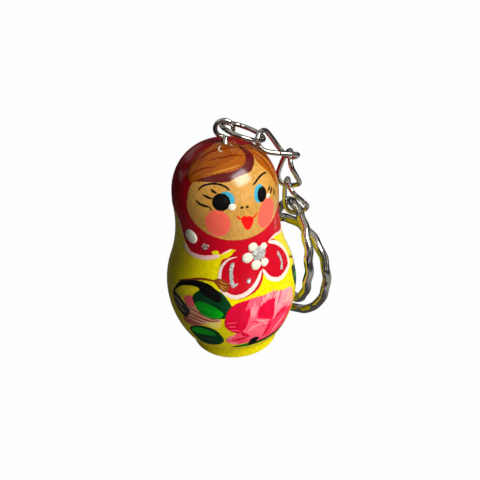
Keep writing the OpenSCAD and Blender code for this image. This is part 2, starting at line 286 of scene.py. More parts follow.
class PaintBox:
    """Lays strokes of one group on the doll and joins them into one piece

    A stroke's points are angles from the front towards +X in degrees, each with a height in millimetres.
    Its lift is the height of its face above the wood, in millimetres.
    """

    def __init__(self, name):
        self.name = name
        self.form = TurnedForm()
        self.strokes = []

    def spots(self, points):
        return [self.form.place(*point) for point in points]

    def ragged(self, edge_a, edge_b, amount=0.07):
        """The edges as a brush leaves them, a little uneven."""
        share = np.linspace(0, 1, 160)
        a, b = along(edge_a, share), along(edge_b, share)
        gap = np.linalg.norm(a - b, axis=1)
        side = (a - b) / np.maximum(gap, 1e-6)[:, None]
        length = np.linalg.norm(np.diff(a, axis=0), axis=1).sum()
        start = len(self.strokes) * 1.7
        sway = amount * np.minimum(1, gap / 0.8) * np.sin(np.pi * share) ** 0.3
        for edge, sign, turn in ((a, 1, 0.0), (b, -1, 2.1)):
            broad = np.sin(share * length * 5.3 + start + turn)
            fine = np.sin(share * length * 13.7 + 2 * start + turn)
            edge += sign * side * (sway * (0.5 * broad + 0.5 * fine))[:, None]
        return a, b

    def patch(self, edge_a, edge_b, paint, lift, dome=0.0, grain=0.45):
        """A thin sheet of paint between two edges that run the same way."""
        if not dome:
            edge_a, edge_b = self.ragged(edge_a, edge_b)
            grain = min(grain, 0.3)
        share = np.linspace(0, 1, 25)
        side_a, side_b = along(edge_a, share), along(edge_b, share)
        length = max(np.linalg.norm(np.diff(side, axis=0), axis=1).sum() for side in (side_a, side_b))
        width = np.linalg.norm(side_a - side_b, axis=1).max()
        sheet, u, v = new_sheet(int(np.clip(length / grain, 12, 220)), int(np.clip(width / grain, 3, 120)))
        if dome:
            u = (1 - np.cos(np.pi * u)) / 2
        flat = along(edge_a, u) * (1 - v)[:, None] + along(edge_b, u) * v[:, None]
        spots, out = self.form.settle(flat)
        rho = (2 * u - 1) ** 2 + (2 * v - 1) ** 2 * (1 - (2 * u - 1) ** 2)
        height = lift + dome * np.sqrt(np.maximum(0, 1 - rho))
        lay(sheet, spots + out * height[:, None])
        middle = sheet.data.polygons[len(sheet.data.polygons) // 2]
        facing = self.form.settle(np.array([middle.center]) / MM)[1][0]
        inward = np.dot(facing, middle.normal) < 0
        edit_all(sheet)
        if inward:
            bpy.ops.mesh.flip_normals()
        bpy.ops.mesh.remove_doubles(threshold=PAINT_WELD * MM)
        bpy.ops.object.mode_set(mode="OBJECT")
        thicken(sheet, lift + SUNK, paint)
        self.strokes.append(sheet)

    def blob(self, points, paint, lift, dome=0.0):
        """A patch inside a closed outline, split at its two far ends."""
        loop = curve_through(self.spots(points), closed=True)
        gaps = np.linalg.norm(loop[:, None] - loop[None], axis=2)
        i, j = sorted(np.unravel_index(gaps.argmax(), gaps.shape))
        self.patch(loop[i:j + 1], np.vstack([loop[j:], loop[:i + 1]])[::-1], paint, lift, dome)

    def between(self, points_a, points_b, paint, lift):
        """A patch between two edges given as points."""
        self.patch(curve_through(self.spots(points_a)), curve_through(self.spots(points_b)), paint, lift)

    def ribbon(self, points, width, paint, lift, ends="leaf", dome=0.0):
        """A brush stroke along a line; its ends are pointed, a drop's or blunt."""
        line = curve_through(self.spots(points))
        share = np.linspace(0, 1, 41)
        middle, out = self.form.settle(along(line, share))
        side = np.cross(out, np.gradient(middle, axis=0))
        side /= np.linalg.norm(side, axis=1)[:, None]
        press = {
            "leaf": np.sin(np.pi * share) ** 0.7,
            "drop": np.sqrt(np.maximum(0, share * (1 - share ** 6))) * 1.05,
            "blunt": np.maximum(0, 1 - (2 * share - 1) ** 8) ** 0.5,
        }[ends]
        reach = side * (width / 2 * press)[:, None]
        self.patch(middle + reach, middle - reach, paint, lift, dome)

    def axes(self, centre):
        """A spot on the doll, with the ways across and up its surface there."""
        middle, out = self.form.settle(self.form.place(*centre)[None])
        across = np.cross([0, 0, 1.0], out[0])
        across /= np.linalg.norm(across)
        return middle[0], across, np.cross(out[0], across)

    def oval(self, centre, half, rise, paint, lift, tilt=0.0, dome=0.0):
        """A round or oval dab, with its half width and half height in millimetres."""
        middle, across, up = self.axes(centre)
        turn = math.radians(tilt)
        wide = across * math.cos(turn) + up * math.sin(turn)
        tall = up * math.cos(turn) - across * math.sin(turn)
        a = np.linspace(0, np.pi, 33)[:, None]
        edges = [middle - np.cos(a) * half * wide + sign * np.sin(a) * rise * tall for sign in (1, -1)]
        self.patch(edges[0], edges[1], paint, lift, dome)

    def glitter(self, centre, radius, paint, lift, grains):
        """A dab of glitter: small flat grains that lie at their own slopes."""
        middle, across, up = self.axes(centre)
        golden_turn = 2.39996
        for i in range(grains):
            turn, far = i * golden_turn, radius * math.sqrt((i + 0.5) / grains)
            spot = middle + far * (math.cos(turn) * across + math.sin(turn) * up)
            settled, way = self.form.settle(spot[None])
            size = 0.2 + 0.1 * math.sin(7.1 * i)
            bpy.ops.mesh.primitive_cylinder_add(
                vertices=6, radius=size * MM, depth=0.12 * MM,
                location=(settled[0] + way[0] * (lift + 0.03)) * MM)
            grain = bpy.context.object
            tip = Vector((math.sin(3.3 * i), math.cos(5.7 * i), math.sin(9.1 * i + 1)))
            lean = Vector(way[0]) + 0.35 * tip
            grain.rotation_euler = lean.to_track_quat("Z", "Y").to_euler()
            bpy.ops.object.transform_apply(location=True, rotation=True, scale=True)
            grain.data.materials.append(paint)
            self.strokes.append(grain)

    def finish(self):
        """Joins the strokes into one piece that rides on the doll."""
        deselect()
        for stroke in self.strokes:
            stroke.select_set(True)
        bpy.context.view_layer.objects.active = self.strokes[0]
        bpy.ops.object.transform_apply(location=True, rotation=True, scale=True)
        bpy.ops.object.join()
        piece = bpy.context.object
        piece.name = self.name
        piece.data.name = self.name
        edit_all(piece)
        bpy.ops.mesh.normals_make_consistent(inside=False)
        bpy.ops.object.mode_set(mode="OBJECT")
        bpy.ops.object.shade_smooth_by_angle(angle=math.radians(40))
        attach(piece, "doll")
        return piece


# Materials

def new_group(name, inputs, outputs):
    group = bpy.data.node_groups.new(name, "ShaderNodeTree")
    for label, kind, default in inputs:
        socket = group.interface.new_socket(name=label, in_out="INPUT", socket_type=kind)
        if default is not None:
            socket.default_value = default
    for label, kind in outputs:
        group.interface.new_socket(name=label, in_out="OUTPUT", socket_type=kind)
    return group, group.nodes.new("NodeGroupInput"), group.nodes.new("NodeGroupOutput")


def brush_streaks():
    """Bristle marks that run along a stroke, with thin and thick paint."""
    if "Brush streaks" in bpy.data.node_groups:
        return bpy.data.node_groups["Brush streaks"]
    inputs = [("Place", "NodeSocketVector", None), ("Bristles", "NodeSocketFloat", 14.0),
              ("Run", "NodeSocketFloat", 1.2)]
    outputs = [("Streak", "NodeSocketFloat"), ("Pool", "NodeSocketFloat")]
    group, inlet, outlet = new_group("Brush streaks", inputs, outputs)
    nodes, links = group.nodes, group.links
    stretch = nodes.new("ShaderNodeCombineXYZ")
    for axis, label in (("X", "Run"), ("Y", "Bristles"), ("Z", "Bristles")):
        links.new(inlet.outputs[label], stretch.inputs[axis])
    scaled = nodes.new("ShaderNodeVectorMath")
    scaled.operation = "MULTIPLY"
    links.new(inlet.outputs["Place"], scaled.inputs[0])
    links.new(stretch.outputs[0], scaled.inputs[1])
    bristle = noise(nodes, links, scaled.outputs[0], 1.0, 4.0, 0.6)
    links.new(ranged(nodes, links, bristle, 0, 1, 0.35, 0.68), outlet.inputs["Streak"])
    links.new(noise(nodes, links, inlet.outputs["Place"], 2.3, 2.0), outlet.inputs["Pool"])
    return group


def hand_marks():
    """Uneven lacquer and dust over the whole piece, by its place in space."""
    if "Hand marks" in bpy.data.node_groups:
        return bpy.data.node_groups["Hand marks"]
    group, inlet, outlet = new_group("Hand marks", [("Place", "NodeSocketVector", None)],
                                     [("Uneven", "NodeSocketFloat"), ("Dust", "NodeSocketFloat")])
    for label, scale, detail in (("Uneven", 180.0, 3.0), ("Dust", 1500.0, 2.0)):
        mark = noise(group.nodes, group.links, inlet.outputs["Place"], scale, detail)
        group.links.new(mark, outlet.inputs[label])
    return group


def add_group(nodes, group):
    node = nodes.new("ShaderNodeGroup")
    node.node_tree = group
    return node


def blank_material(name):
    material = bpy.data.materials.new(name)
    material.use_nodes = True
    tree = material.node_tree
    return material, tree.nodes, tree.links, tree.nodes["Principled BSDF"]


def mixed(nodes, links, shade_a, shade_b, factor):
    """Two colours mixed by a mask."""
    mix = nodes.new("ShaderNodeMix")
    mix.data_type = "RGBA"
    for socket, shade in ((mix.inputs[6], shade_a), (mix.inputs[7], shade_b)):
        if isinstance(shade, bpy.types.NodeSocket):
            links.new(shade, socket)
        else:
            socket.default_value = (*shade, 1)
    links.new(factor, mix.inputs[0])
    return mix.outputs[2]


def ranged(nodes, links, value, low, high, start=0.0, end=1.0):
    node = nodes.new("ShaderNodeMapRange")
    for key, number in (("From Min", start), ("From Max", end), ("To Min", low), ("To Max", high)):
        node.inputs[key].default_value = number
    links.new(value, node.inputs["Value"])
    return node.outputs["Result"]


def noise(nodes, links, place, scale, detail, roughness=0.5):
    node = nodes.new("ShaderNodeTexNoise")
    for key, number in (("Scale", scale), ("Detail", detail), ("Roughness", roughness)):
        node.inputs[key].default_value = number
    links.new(place, node.inputs["Vector"])
    return node.outputs["Fac"]


def combined(nodes, links, operation, value_a, value_b):
    node = nodes.new("ShaderNodeMath")
    node.operation = operation
    links.new(value_a, node.inputs[0])
    links.new(value_b, node.inputs[1])
    return node.outputs[0]


def one_axis(nodes, links, place, axis):
    split = nodes.new("ShaderNodeSeparateXYZ")
    links.new(place, split.inputs[0])
    return split.outputs[axis]


def marked_place(nodes, links):
    """The coordinates of a surface, and the hand marks on it."""
    place = nodes.new("ShaderNodeTexCoord")
    marks = add_group(nodes, hand_marks())
    links.new(place.outputs["Object"], marks.inputs["Place"])
    return place, marks


def lacquer(shader, weight, roughness, specular=0.05):
    """A clear coat over paint or wood."""
    shader.inputs["Specular IOR Level"].default_value = specular
    shader.inputs["Coat Weight"].default_value = weight
    shader.inputs["Coat Roughness"].default_value = roughness


def bumped(nodes, links, height, strength, distance):
    bump = nodes.new("ShaderNodeBump")
    bump.inputs["Strength"].default_value = strength
    bump.inputs["Distance"].default_value = distance * MM
    links.new(height, bump.inputs["Height"])
    return bump.outputs["Normal"]


def shaded(shade, share):
    return tuple(part * share for part in shade)


def stroke_paint(key, second=None, fade=0.0, thin=0.76, bristles=14.0, coat=0.25):
    """Gouache under lacquer: bristle marks along the stroke, thin paint or a second colour between them."""
    name = "_".join(["paint", key] + ([second] if second else []) + (["fade"] if fade else []))
    if name in bpy.data.materials:
        return bpy.data.materials[name]
    colours = bpy.context.scene.fob_colours
    shade = tuple(getattr(colours, key))
    under = tuple(getattr(colours, second)) if second else shaded(shade, thin)
    material, nodes, links, shader = blank_material(name)
    place, marks = marked_place(nodes, links)
    streaks = add_group(nodes, brush_streaks())
    streaks.inputs["Bristles"].default_value = bristles
    links.new(place.outputs["UV"], streaks.inputs["Place"])
    mask = streaks.outputs["Streak"]
    if fade:
        run = ranged(nodes, links, one_axis(nodes, links, place.outputs["UV"], "X"), -fade, fade)
        mask = ranged(nodes, links, combined(nodes, links, "ADD", run, mask), 0, 1)
    body = mixed(nodes, links, under, shade, mask)
    lit = tuple(min(1, part * 1.06 + 0.01) for part in shade)
    thick = ranged(nodes, links, marks.outputs["Uneven"], 0, 0.4, 0.4, 0.75)
    links.new(mixed(nodes, links, body, lit, thick), shader.inputs["Base Color"])
    links.new(ranged(nodes, links, streaks.outputs["Pool"], 0.42, 0.6), shader.inputs["Roughness"])
    links.new(bumped(nodes, links, streaks.outputs["Streak"], 0.25, 0.03), shader.inputs["Normal"])
    lacquer(shader, coat, 0.17)
    return material


def scarf_paint():
    """Scarf red, laid round the doll while it turned, with painted shade that deepens it to maroon towards
    the crown.
    """
    material, nodes, links, shader = blank_material("scarf_red")
    colours = bpy.context.scene.fob_colours
    shade = tuple(colours.red)
    place, marks = marked_place(nodes, links)
    streaks = add_group(nodes, brush_streaks())
    streaks.inputs["Run"].default_value = 60.0
    streaks.inputs["Bristles"].default_value = 420.0
    links.new(place.outputs["Object"], streaks.inputs["Place"])
    body = mixed(nodes, links, shaded(shade, 0.8), shade, streaks.outputs["Streak"])
    # Painted shade: from 40 mm up the red is mixed towards maroon, up to three quarters maroon at the crown
    level = one_axis(nodes, links, place.outputs["Object"], "Z")
    crown = ranged(nodes, links, level, 0, 0.75, 40 * MM, 49 * MM)
    links.new(mixed(nodes, links, body, tuple(colours.maroon), crown), shader.inputs["Base Color"])
    links.new(ranged(nodes, links, marks.outputs["Uneven"], 0.3, 0.5), shader.inputs["Roughness"])
    links.new(bumped(nodes, links, marks.outputs["Uneven"], 0.2, 0.12), shader.inputs["Normal"])
    lacquer(shader, 0.3, 0.09)
    return material


def body_paint():
    """Yellow ground with a gritty, worn foot."""
    material, nodes, links, shader = blank_material("ground_yellow_and_foot")
    colours = bpy.context.scene.fob_colours
    shade = tuple(colours.yellow)
    place, marks = marked_place(nodes, links)
    uneven = marks.outputs["Uneven"]
    level = one_axis(nodes, links, place.outputs["Object"], "Z")
    foot = ranged(nodes, links, level, 1, 0, 3.3 * MM, 4.2 * MM)
    grit = noise(nodes, links, place.outputs["Object"], 1900.0, 6.0, 0.7)
    rub = combined(nodes, links, "MULTIPLY", foot, ranged(nodes, links, grit, 0, 1, 0.45, 0.65))
    ground = mixed(nodes, links, shaded(shade, 0.88), shade, ranged(nodes, links, uneven, 0, 1, 0.35, 0.6))
    cover = ranged(nodes, links, grit, 0.1, 1, 0.38, 0.54)
    body = mixed(nodes, links, tuple(colours.yellow_thin), ground, cover)
    links.new(mixed(nodes, links, body, tuple(colours.foot_worn), rub), shader.inputs["Base Color"])
    links.new(ranged(nodes, links, foot, 0.33, 0.62), shader.inputs["Roughness"])
    height = combined(nodes, links, "ADD", ranged(nodes, links, uneven, 0, 0.25), rub)
    links.new(bumped(nodes, links, height, 0.55, 0.18), shader.inputs["Normal"])
    lacquer(shader, 0.3, 0.12)
    return material


def wood_finish():
    """Bare lime wood under lacquer: fine upright grain and small pores."""
    material, nodes, links, shader = blank_material("lacquered_wood")
    colours = bpy.context.scene.fob_colours
    shade = tuple(colours.wood)
    place, marks = marked_place(nodes, links)
    grain = nodes.new("ShaderNodeMapping")
    grain.inputs["Scale"].default_value = (2500, 2500, 800)
    links.new(place.outputs["Object"], grain.inputs["Vector"])
    fibre = noise(nodes, links, grain.outputs["Vector"], 1.0, 5.0)
    tone = mixed(nodes, links, shaded(shade, 0.72), shade, ranged(nodes, links, fibre, 0, 1, 0.36, 0.56))
    streak = ranged(nodes, links, marks.outputs["Uneven"], 0, 0.5, 0.4, 0.75)
    links.new(mixed(nodes, links, tone, tuple(colours.wood_pale), streak), shader.inputs["Base Color"])
    shader.inputs["Roughness"].default_value = 0.36
    links.new(bumped(nodes, links, fibre, 0.3, 0.06), shader.inputs["Normal"])
    lacquer(shader, 0.95, 0.17, specular=0.2)
    return material


def glitter_finish():
    """Silver grains in clear glue."""
    if "silver_glitter" in bpy.data.materials:
        return bpy.data.materials["silver_glitter"]
    material, nodes, links, shader = blank_material("silver_glitter")
    shade = tuple(bpy.context.scene.fob_colours.glitter)
    place = nodes.new("ShaderNodeTexCoord")
    grain = nodes.new("ShaderNodeTexVoronoi")
    grain.inputs["Scale"].default_value = 3200.0
    links.new(place.outputs["Object"], grain.inputs["Vector"])
    split = nodes.new("ShaderNodeSeparateColor")
    links.new(grain.outputs["Color"], split.inputs[0])
    links.new(mixed(nodes, links, shaded(shade, 0.5), shade, split.outputs["Red"]),
              shader.inputs["Base Color"])
    links.new(ranged(nodes, links, split.outputs["Green"], 0.12, 0.5), shader.inputs["Roughness"])
    links.new(bumped(nodes, links, split.outputs["Blue"], 0.5, 0.1), shader.inputs["Normal"])
    shader.inputs["Metallic"].default_value = 0.4
    return material


def nickel_finish():
    """Bright nickel plate with fine rubbing marks."""
    if "nickel_plate" in bpy.data.materials:
        return bpy.data.materials["nickel_plate"]
    material, nodes, links, shader = blank_material("nickel_plate")
    shade = tuple(bpy.context.scene.fob_colours.nickel)
    marks = marked_place(nodes, links)[1]
    rubbed = ranged(nodes, links, marks.outputs["Uneven"], 0, 1, 0.35, 0.6)
    links.new(mixed(nodes, links, shaded(shade, 0.86), shade, rubbed), shader.inputs["Base Color"])
    links.new(ranged(nodes, links, marks.outputs["Dust"], 0.05, 0.2, 0.3, 0.75), shader.inputs["Roughness"])
    links.new(bumped(nodes, links, marks.outputs["Uneven"], 0.3, 0.2), shader.inputs["Normal"])
    shader.inputs["Metallic"].default_value = 1.0
    return material


# Pieces

class FOB_OT_body(bpy.types.Operator):
    """Turns the doll's body from its outline and gives it the yellow ground"""
    bl_idname = "fob.body"
    bl_label = "Turned body"

    def execute(self, context):
        line = TurnedForm().line
        deselect()
        bpy.ops.mesh.primitive_plane_add(size=MM)
        body = context.object
        edit_all(body)
        bpy.ops.mesh.merge(type="CENTER")
        here = np.array([0.0, 0.0])
        for spot in line:
            step = (spot - here) * MM
            bpy.ops.mesh.extrude_vertices_move(TRANSFORM_OT_translate={"value": (step[0], 0, step[1])})
            here = spot
        bpy.ops.mesh.select_all(action="SELECT")
        bpy.ops.mesh.spin(steps=TURN_STEPS, angle=2 * math.pi, center=(0, 0, 0), axis=(0, 0, 1))
        bpy.ops.mesh.select_all(action="SELECT")
        bpy.ops.mesh.remove_doubles(threshold=PAINT_WELD * MM)
        bpy.ops.mesh.normals_make_consistent(inside=False)
        bpy.ops.object.mode_set(mode="OBJECT")
        body.name = "turned_body"
        bpy.ops.object.shade_smooth_by_angle(angle=math.radians(35))
        body.data.materials.append(body_paint())
        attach(body, "doll")
        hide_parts("doll")
        return {"FINISHED"}


# The scarf's lower edge round the doll, as angles and heights
HEM = [(-180, 36.6), (-150, 36.9), (-120, 37.3), (-95, 37.7), (-76, 37.6), (-68, 36.9), (-62, 35.4),
       (-58, 33.2), (-52, 31), (-44, 29.5), (-34, 29.3), (-24, 29.5), (-16, 29.9), (-9, 30.4), (2, 31.4),
       (10, 31), (20, 30.7), (32, 30.6), (45, 30.6), (58, 30.5), (70, 29.8), (80, 29.4), (92, 29.7),
       (99, 31.6), (104, 34.2), (112, 36.2), (130, 36.8), (155, 36.7), (180, 36.6)]


class FOB_OT_scarf(bpy.types.Operator):
    """Lays the red scarf over the head and shoulders, with its painted hem"""
    bl_idname = "fob.scarf"
    bl_label = "Scarf"

    def execute(self, context):
        box = PaintBox("scarf")
        hem_paint = stroke_paint("white", "pale")
        self.shell(box, scarf_paint())
        hem_front = [(-56, 31), (-51, 29.6), (-44, 29.1), (-36, 29), (-28, 29.1), (-19, 29.5), (-10, 30)]
        box.ribbon(hem_front, 1.0, hem_paint, 0.06, "blunt")
        box.ribbon([(-9, 30.3), (-3, 30.9), (3, 31.5)], 0.4, hem_paint, 0.06)
        hem_right = [(45, 30.5), (58, 30.6), (70, 29.8), (80, 29.3), (92, 29.6), (98, 31.2), (103, 33.8),
                     (111, 35.9), (128, 36.6), (155, 36.5), (180, 36.4)]
        box.ribbon(hem_right, 0.6, hem_paint, 0.06, "blunt")
        hem_left = [(-180, 36.4), (-150, 36.7), (-120, 37.1), (-95, 37.5), (-76, 37.4), (-68, 36.7),
                    (-62, 35.2), (-58, 33), (-54, 31.6)]
        box.ribbon(hem_left, 0.4, hem_paint, 0.06, "blunt")
        for spot, size in (((-43, 33.3), 1.6), ((-140, 40.2), 1.2), ((180, 40), 1.2), ((140, 40.2), 1.2)):
            box.oval(spot, size, size * 1.04, stroke_paint("cream"), 0.06, dome=0.35)
        box.glitter((-26, 31.8), 0.8, glitter_finish(), 0.05, 9)
        box.ribbon([(-18, 30.3), (-15, 30.7), (-11, 30.5)], 0.9, stroke_paint("yellow"), 0.08, "blunt")
        box.finish()
        return {"FINISHED"}

    def shell(self, box, red):
        """The scarf goes all the way round, from the crown to the hem."""
        sheet, u, v = new_sheet(across=240, along_side=72)
        line, hem = box.form.line, np.array(HEM)
        walk = np.concatenate([[0], np.cumsum(np.linalg.norm(np.diff(line, axis=0), axis=1))])
        angle = u * 360 - 180
        low = np.interp(np.interp(angle, hem[:, 0], hem[:, 1]), line[:, 1], walk)
        at = walk[-1] + (low - walk[-1]) * v
        r, z = np.interp(at, walk, line[:, 0]), np.interp(at, walk, line[:, 1])
        turn = np.radians(angle)
        spots, out = box.form.settle(np.column_stack([r * np.sin(turn), -r * np.cos(turn), z]))
        lay(sheet, spots + out * SCARF_LIFT)
        edit_all(sheet)
        bpy.ops.mesh.remove_doubles(threshold=PAINT_WELD * MM)
        bpy.ops.mesh.normals_make_consistent(inside=False)
        bpy.ops.object.mode_set(mode="OBJECT")
        middle = sheet.data.polygons[len(sheet.data.polygons) // 2]
        if middle.normal.dot(Vector((middle.center.x, middle.center.y, 0))) < 0:
            edit_all(sheet)
            bpy.ops.mesh.flip_normals()
            bpy.ops.object.mode_set(mode="OBJECT")
        thicken(sheet, SCARF_DEPTH, red)
        box.strokes.append(sheet)


class FOB_OT_face(bpy.types.Operator):
    """Lays the bare wood face with its cheeks, nose and mouth"""
    bl_idname = "fob.face"
    bl_label = "Face"

    def execute(self, context):
        box = PaintBox("face")
        middle, half, level, rise, fall = 20, 65, 41.2, 8.2, 7.9
        turn = np.radians(np.linspace(0, 180, 25))
        top = [(middle - half * math.cos(t), level + rise * max(math.sin(t), 0) ** 0.55) for t in turn]
        low = [(middle - half * math.cos(t), level - fall * math.sin(t)) for t in turn]
        box.between(top, low, wood_finish(), 0.05)
        cheek = stroke_paint("cheek", thin=0.9)
        box.oval((-10, 37.8), 2.65, 3.15, cheek, 0.07)
        box.oval((46, 37.4), 2.65, 3.35, cheek, 0.07, tilt=-8)
        lips = stroke_paint("lips", thin=0.85)
        mouth = [(14, 38.2), (16, 38.9), (18, 39), (21, 38.6), (24, 38.6), (28, 37.6), (26, 36.3),
                 (24, 35.6), (21, 35.4), (18, 35.9), (16, 36.9)]
        box.blob(mouth, lips, 0.08, 0.1)
        black = stroke_paint("black")
        box.oval((16, 40.9), 0.34, 0.26, black, 0.08)
        box.oval((22, 40.8), 0.3, 0.26, black, 0.08, tilt=20)
        box.ribbon([(10, 39.5), (12, 38.7), (16, 38.5)], 0.38, lips, 0.09)
        box.ribbon([(26, 38), (30, 38.2), (32, 38.9)], 0.36, lips, 0.09)
        box.finish()
        return {"FINISHED"}


class FOB_OT_hair(bpy.types.Operator):
    """Paints the hair over the brow and down the right side of the face"""
    bl_idname = "fob.hair"
    bl_label = "Hair"

    def execute(self, context):
        box = PaintBox("hair")
        hair = stroke_paint("hair", "hair_dark", bristles=22.0, coat=0.5)
        dark, pale = stroke_paint("hair_dark", "maroon"), stroke_paint("hair_pale", "hair")
        maroon = stroke_paint("maroon", thin=0.7, coat=0.8)
        fringe_top = [(-44, 45.2), (-48, 45.3), (-53, 46), (-56, 46.6), (-60, 47.8), (-62, 49),
                      (-67, 49.75), (-100, 49.95), (120, 49.93), (80, 49.8)]
        fringe_edge = [(-44, 45.2), (-38, 45.6), (-15, 46), (4, 46), (17, 46.5), (31, 46.6), (40, 46.7),
                       (51, 47.3), (60, 47.8), (66, 48.3), (71, 48.9), (80, 49.8)]
        box.between(fringe_top, fringe_edge, hair, 0.07)
        band_top = [(-38, 45.8), (-22, 46.8), (-6, 47.3), (12, 47.4), (30, 47.7), (41, 48.1), (51, 48.7),
                    (59, 49.2), (66, 49.5), (75, 49.6)]
        band_edge = [(-38, 45.8), (-15, 46), (4, 46), (17, 46.5), (31, 46.6), (40, 46.7), (51, 47.3),
                     (60, 47.8), (66, 48.3), (71, 48.9), (75, 49.6)]
        box.between(band_top, band_edge, maroon, 0.09)
        box.ribbon([(-46, 45.2), (-54, 46.2), (-60, 47.7), (-62, 49), (-72, 49.75)], 0.9, dark, 0.085)
        box.ribbon([(-32, 48.6), (-17, 49.1), (4, 49.2), (29, 49.2), (50, 48.7)], 0.4, dark, 0.1)
        box.ribbon([(-47, 48), (-46, 49.3), (14, 49.85), (65, 49.6)], 0.4, dark, 0.1)
        box.ribbon([(-50, 45.8), (-44, 47), (-32, 47.8), (-14, 48.2)], 0.35, dark, 0.1)
        box.ribbon([(-58, 47), (-54, 48.6), (-40, 49.6), (0, 49.9)], 0.5, dark, 0.1)
        box.ribbon([(-23, 47), (-6, 47.6), (14, 47.9), (31, 48)], 0.45, pale, 0.11)
        lock_outer = [(74, 49.4), (84, 49.4), (102, 48.3), (104, 47), (94, 45.5), (85, 44.3), (78, 43),
                      (73, 41.4), (70, 40.6)]
        lock_inner = [(74, 49.4), (70, 48.8), (66, 48.2), (60, 47.1), (63, 45.8), (67, 44.5), (68, 43.1),
                      (70, 41.5), (70, 40.6)]
        box.between(lock_outer, lock_inner, hair, 0.07)
        # Painted highlights: thin cream strokes by the screw eye at the crown stand for glints of light
        # there
        crown_glint = stroke_paint("cream")
        box.ribbon([(-10, 49.97), (-18, 49.87), (-10, 49.74), (2, 49.66)], 0.3, crown_glint, 0.11)
        box.ribbon([(72, 49.92), (62, 49.86), (55, 49.8)], 0.25, crown_glint, 0.11)
        box.ribbon([(72, 48.6), (74, 47), (74, 45), (72, 43)], 0.35, dark, 0.1)
        box.ribbon([(80, 48.4), (80, 46.6), (77, 44.6), (74, 42.4)], 0.35, pale, 0.1)
        box.finish()
        return {"FINISHED"}


class FOB_OT_eyes(bpy.types.Operator):
    """Paints the eyes, lashes and brows"""
    bl_idname = "fob.eyes"
    bl_label = "Eyes"

    def execute(self, context):
        box = PaintBox("eyes")
        black, blue, cream = stroke_paint("black"), stroke_paint("blue", thin=0.62), stroke_paint("cream")
        box.oval((0, 42.8), 1.78, 1.82, blue, 0.07)
        box.oval((-5, 42.5), 1.82, 1.82, black, 0.09)
        box.oval((6, 41.4), 0.76, 0.72, cream, 0.1, dome=0.14)
        box.oval((39, 42.5), 1.36, 1.9, blue, 0.07, tilt=-22)
        box.oval((42, 42.1), 1.22, 1.62, black, 0.09, tilt=-20)
        box.oval((50, 41.1), 0.6, 0.55, cream, 0.1, dome=0.14)
        left_brow = [(-32, 44.3), (-28, 45.1), (-21, 45.6), (-11, 45.8), (-1, 45.4), (6, 44.5)]
        box.ribbon(left_brow, 0.38, black, 0.11, "blunt")
        box.ribbon([(34, 44.4), (44, 45.1), (55, 45.3), (62, 45)], 0.38, black, 0.11, "blunt")
        for line in ([(-17, 44.9), (-13, 44.5), (-9, 44.1)], [(-26, 43.8), (-20, 43.4), (-13, 43.1)],
                     [(-34, 42.5), (-27, 41.8), (-16, 41.4)], [(60, 42.1), (57, 41.5), (54, 41.1)],
                     [(64, 41.4), (62, 40.7), (60, 40.1)], [(57, 42.6), (54, 42.2), (52, 42)]):
            box.ribbon(line, 0.46, black, 0.11)
        box.ribbon([(-16, 41.4), (-16, 41), (-15, 40.7)], 0.26, black, 0.11)
        box.finish()
        return {"FINISHED"}


class FOB_OT_bow(bpy.types.Operator):
    """Paints the scarf's bow with its white outline, glitter and flower"""
    bl_idname = "fob.bow"
    bl_label = "Bow"

    def execute(self, context):
        box = PaintBox("bow")
        red = stroke_paint("red", thin=0.8, bristles=60.0)
        white, cream = stroke_paint("white", thin=0.86), stroke_paint("cream")
        silver = glitter_finish()
        left_loop = [(6, 31), (0, 29.7), (-8, 29), (-11, 27), (-12, 25.4), (-12, 23.5), (-8, 21.9),
                     (-3, 21), (4, 20.4), (12, 20.6), (21, 21.3), (28, 22.6), (32, 24.6), (33, 29),
                     (26, 31.5), (14, 31.4)]
        box.blob(left_loop, red, 0.05)
        right_loop = [(30, 31.2), (40, 31.4), (54, 30.2), (64, 28.2), (72, 25.4), (75, 23.4), (70, 21.9),
                      (60, 21.2), (49, 21), (41, 21.7), (36, 22.8), (32, 24.8), (30, 26.5), (29, 29)]
        box.blob(right_loop, red, 0.05)
        left_outline = [(8, 29.5), (3, 29.4), (-3, 28.9), (-9, 27.4), (-11, 25.7), (-11, 23.8),
                        (-8, 22.2), (-2, 21.2), (4, 20.9), (12, 21.3), (19, 22.2), (25, 23.4), (31, 25.2)]
        box.ribbon(left_outline, 1.15, white, 0.08, "drop")
        right_outline = [(45, 30.4), (57, 29), (69, 26.3), (73, 23.8), (69, 22.1), (59, 21.5), (49, 21.4),
                         (42, 22), (36, 23.2), (32, 25.4)]
        box.ribbon(right_outline, 0.95, white, 0.08, "blunt")
        for spot, size in (((25, 30.9), 1.08), ((38, 30), 0.92), ((18, 28.8), 1.22), ((26, 26.7), 1.16),
                           ((36, 26.5), 0.98)):
            box.oval(spot, size, size * 0.96, cream, 0.08, dome=0.4)
        box.oval((31, 29), 1.72, 1.66, silver, 0.1, dome=0.42)
        box.ribbon([(3, 28.1), (1, 27.2), (0, 26.3), (0, 24.6), (1, 22.9)], 0.75, silver, 0.08, "blunt")
        box.ribbon([(1, 23), (3, 23.4), (6, 23.7)], 0.55, silver, 0.08)
        box.ribbon([(15, 23.5), (16, 23.9), (18, 24.2)], 0.8, silver, 0.08)
        box.ribbon([(57, 26.8), (59, 24.9), (58, 23.6), (53, 22.9)], 0.7, silver, 0.08, "blunt")
        box.glitter((31, 29.1), 1.5, silver, 0.42, 24)
        for spot, size, grains in (((2, 27.8), 0.42, 5), ((0, 26.3), 0.35, 4), ((0, 24), 0.4, 5),
                                   ((16, 23.8), 0.4, 5), ((58, 25.2), 0.4, 4), ((55, 23.2), 0.4, 4)):
            box.glitter(spot, size, silver, 0.1, grains)
        box.finish()
        return {"FINISHED"}


